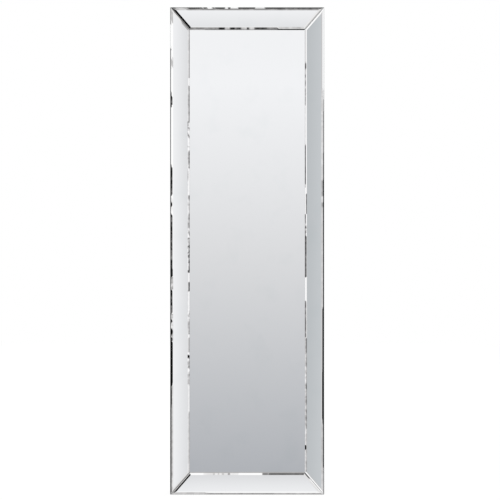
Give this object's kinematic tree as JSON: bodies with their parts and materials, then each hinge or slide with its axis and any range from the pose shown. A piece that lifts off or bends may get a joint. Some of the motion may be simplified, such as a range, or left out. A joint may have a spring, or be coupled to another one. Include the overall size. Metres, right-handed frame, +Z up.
{
  "type": "beveled mirror",
  "caption": "Tall wall mirror whose plain pane sits low inside a frame of sloping, mitred mirror strips with bevelled edges; swinging rings on the back hang it upright or sideways.",
  "frame": {"origin": "on the wall plane, midway between the two hook points of the upright rings", "axes": "+X to the right of someone facing the mirror, +Y into the wall so the mirror faces -Y, +Z up along its long side"},
  "size_m": [0.49, 0.0527, 1.55],
  "materials": {
    "plain_mirror": "polished",
    "bevelled_mirror": "polished, ground edges",
    "black_board": "matt black paint on fibreboard",
    "dark_rail": "satin dark grey paint on fibreboard",
    "foam_tape": "closed cell foam",
    "dark_screw": "black phosphate",
    "zinc_strap": "zinc plated",
    "zinc_ring": "zinc plated",
    "zinc_screw": "zinc plated",
    "rubber_bumper": "matt"
  },
  "bodies": {
    "mirror": {"back_board": "black_board", "rail_left": "dark_rail", "strip_tape_left": "foam_tape", "mirror_strip_left": "bevelled_mirror", "rail_right": "dark_rail", "strip_tape_right": "foam_tape", "mirror_strip_right": "bevelled_mirror", "rail_top": "dark_rail", "strip_tape_top": "foam_tape", "mirror_strip_top": "bevelled_mirror", "rail_bottom": "dark_rail", "strip_tape_bottom": "foam_tape", "mirror_strip_bottom": "bevelled_mirror", "centre_tape": "foam_tape", "centre_mirror": "plain_mirror", "board_screws": "dark_screw", "hanger_strap_upright_left": "zinc_strap", "hanger_strap_upright_right": "zinc_strap", "hanger_strap_sideways_upper": "zinc_strap", "hanger_strap_sideways_lower": "zinc_strap", "hanger_screws": "zinc_screw", "wall_bumper_top_left": "rubber_bumper", "wall_bumper_top_right": "rubber_bumper", "wall_bumper_bottom_left": "rubber_bumper", "wall_bumper_bottom_right": "rubber_bumper"},
    "ring_upright_left": {"d_ring_upright_left": "zinc_ring"},
    "ring_upright_right": {"d_ring_upright_right": "zinc_ring"},
    "ring_sideways_upper": {"d_ring_sideways_upper": "zinc_ring"},
    "ring_sideways_lower": {"d_ring_sideways_lower": "zinc_ring"}
  },
  "joints": [
    {"name": "upright_left_swing", "type": "hinge", "parent": "mirror", "child": "ring_upright_left", "pos_m": [-0.22, -0.00362, -0.0125], "axis": [1, 0, 0], "range_deg": [0, 173]},
    {"name": "upright_right_swing", "type": "hinge", "parent": "mirror", "child": "ring_upright_right", "pos_m": [0.22, -0.00362, -0.0125], "axis": [1, 0, 0], "range_deg": [0, 173]},
    {"name": "sideways_upper_swing", "type": "hinge", "parent": "mirror", "child": "ring_sideways_upper", "pos_m": [0.228, -0.00362, -0.1525], "axis": [0, 0, -1], "range_deg": [0, 173]},
    {"name": "sideways_lower_swing", "type": "hinge", "parent": "mirror", "child": "ring_sideways_lower", "pos_m": [0.228, -0.00362, -1.0525], "axis": [0, 0, -1], "range_deg": [0, 173]}
  ]
}
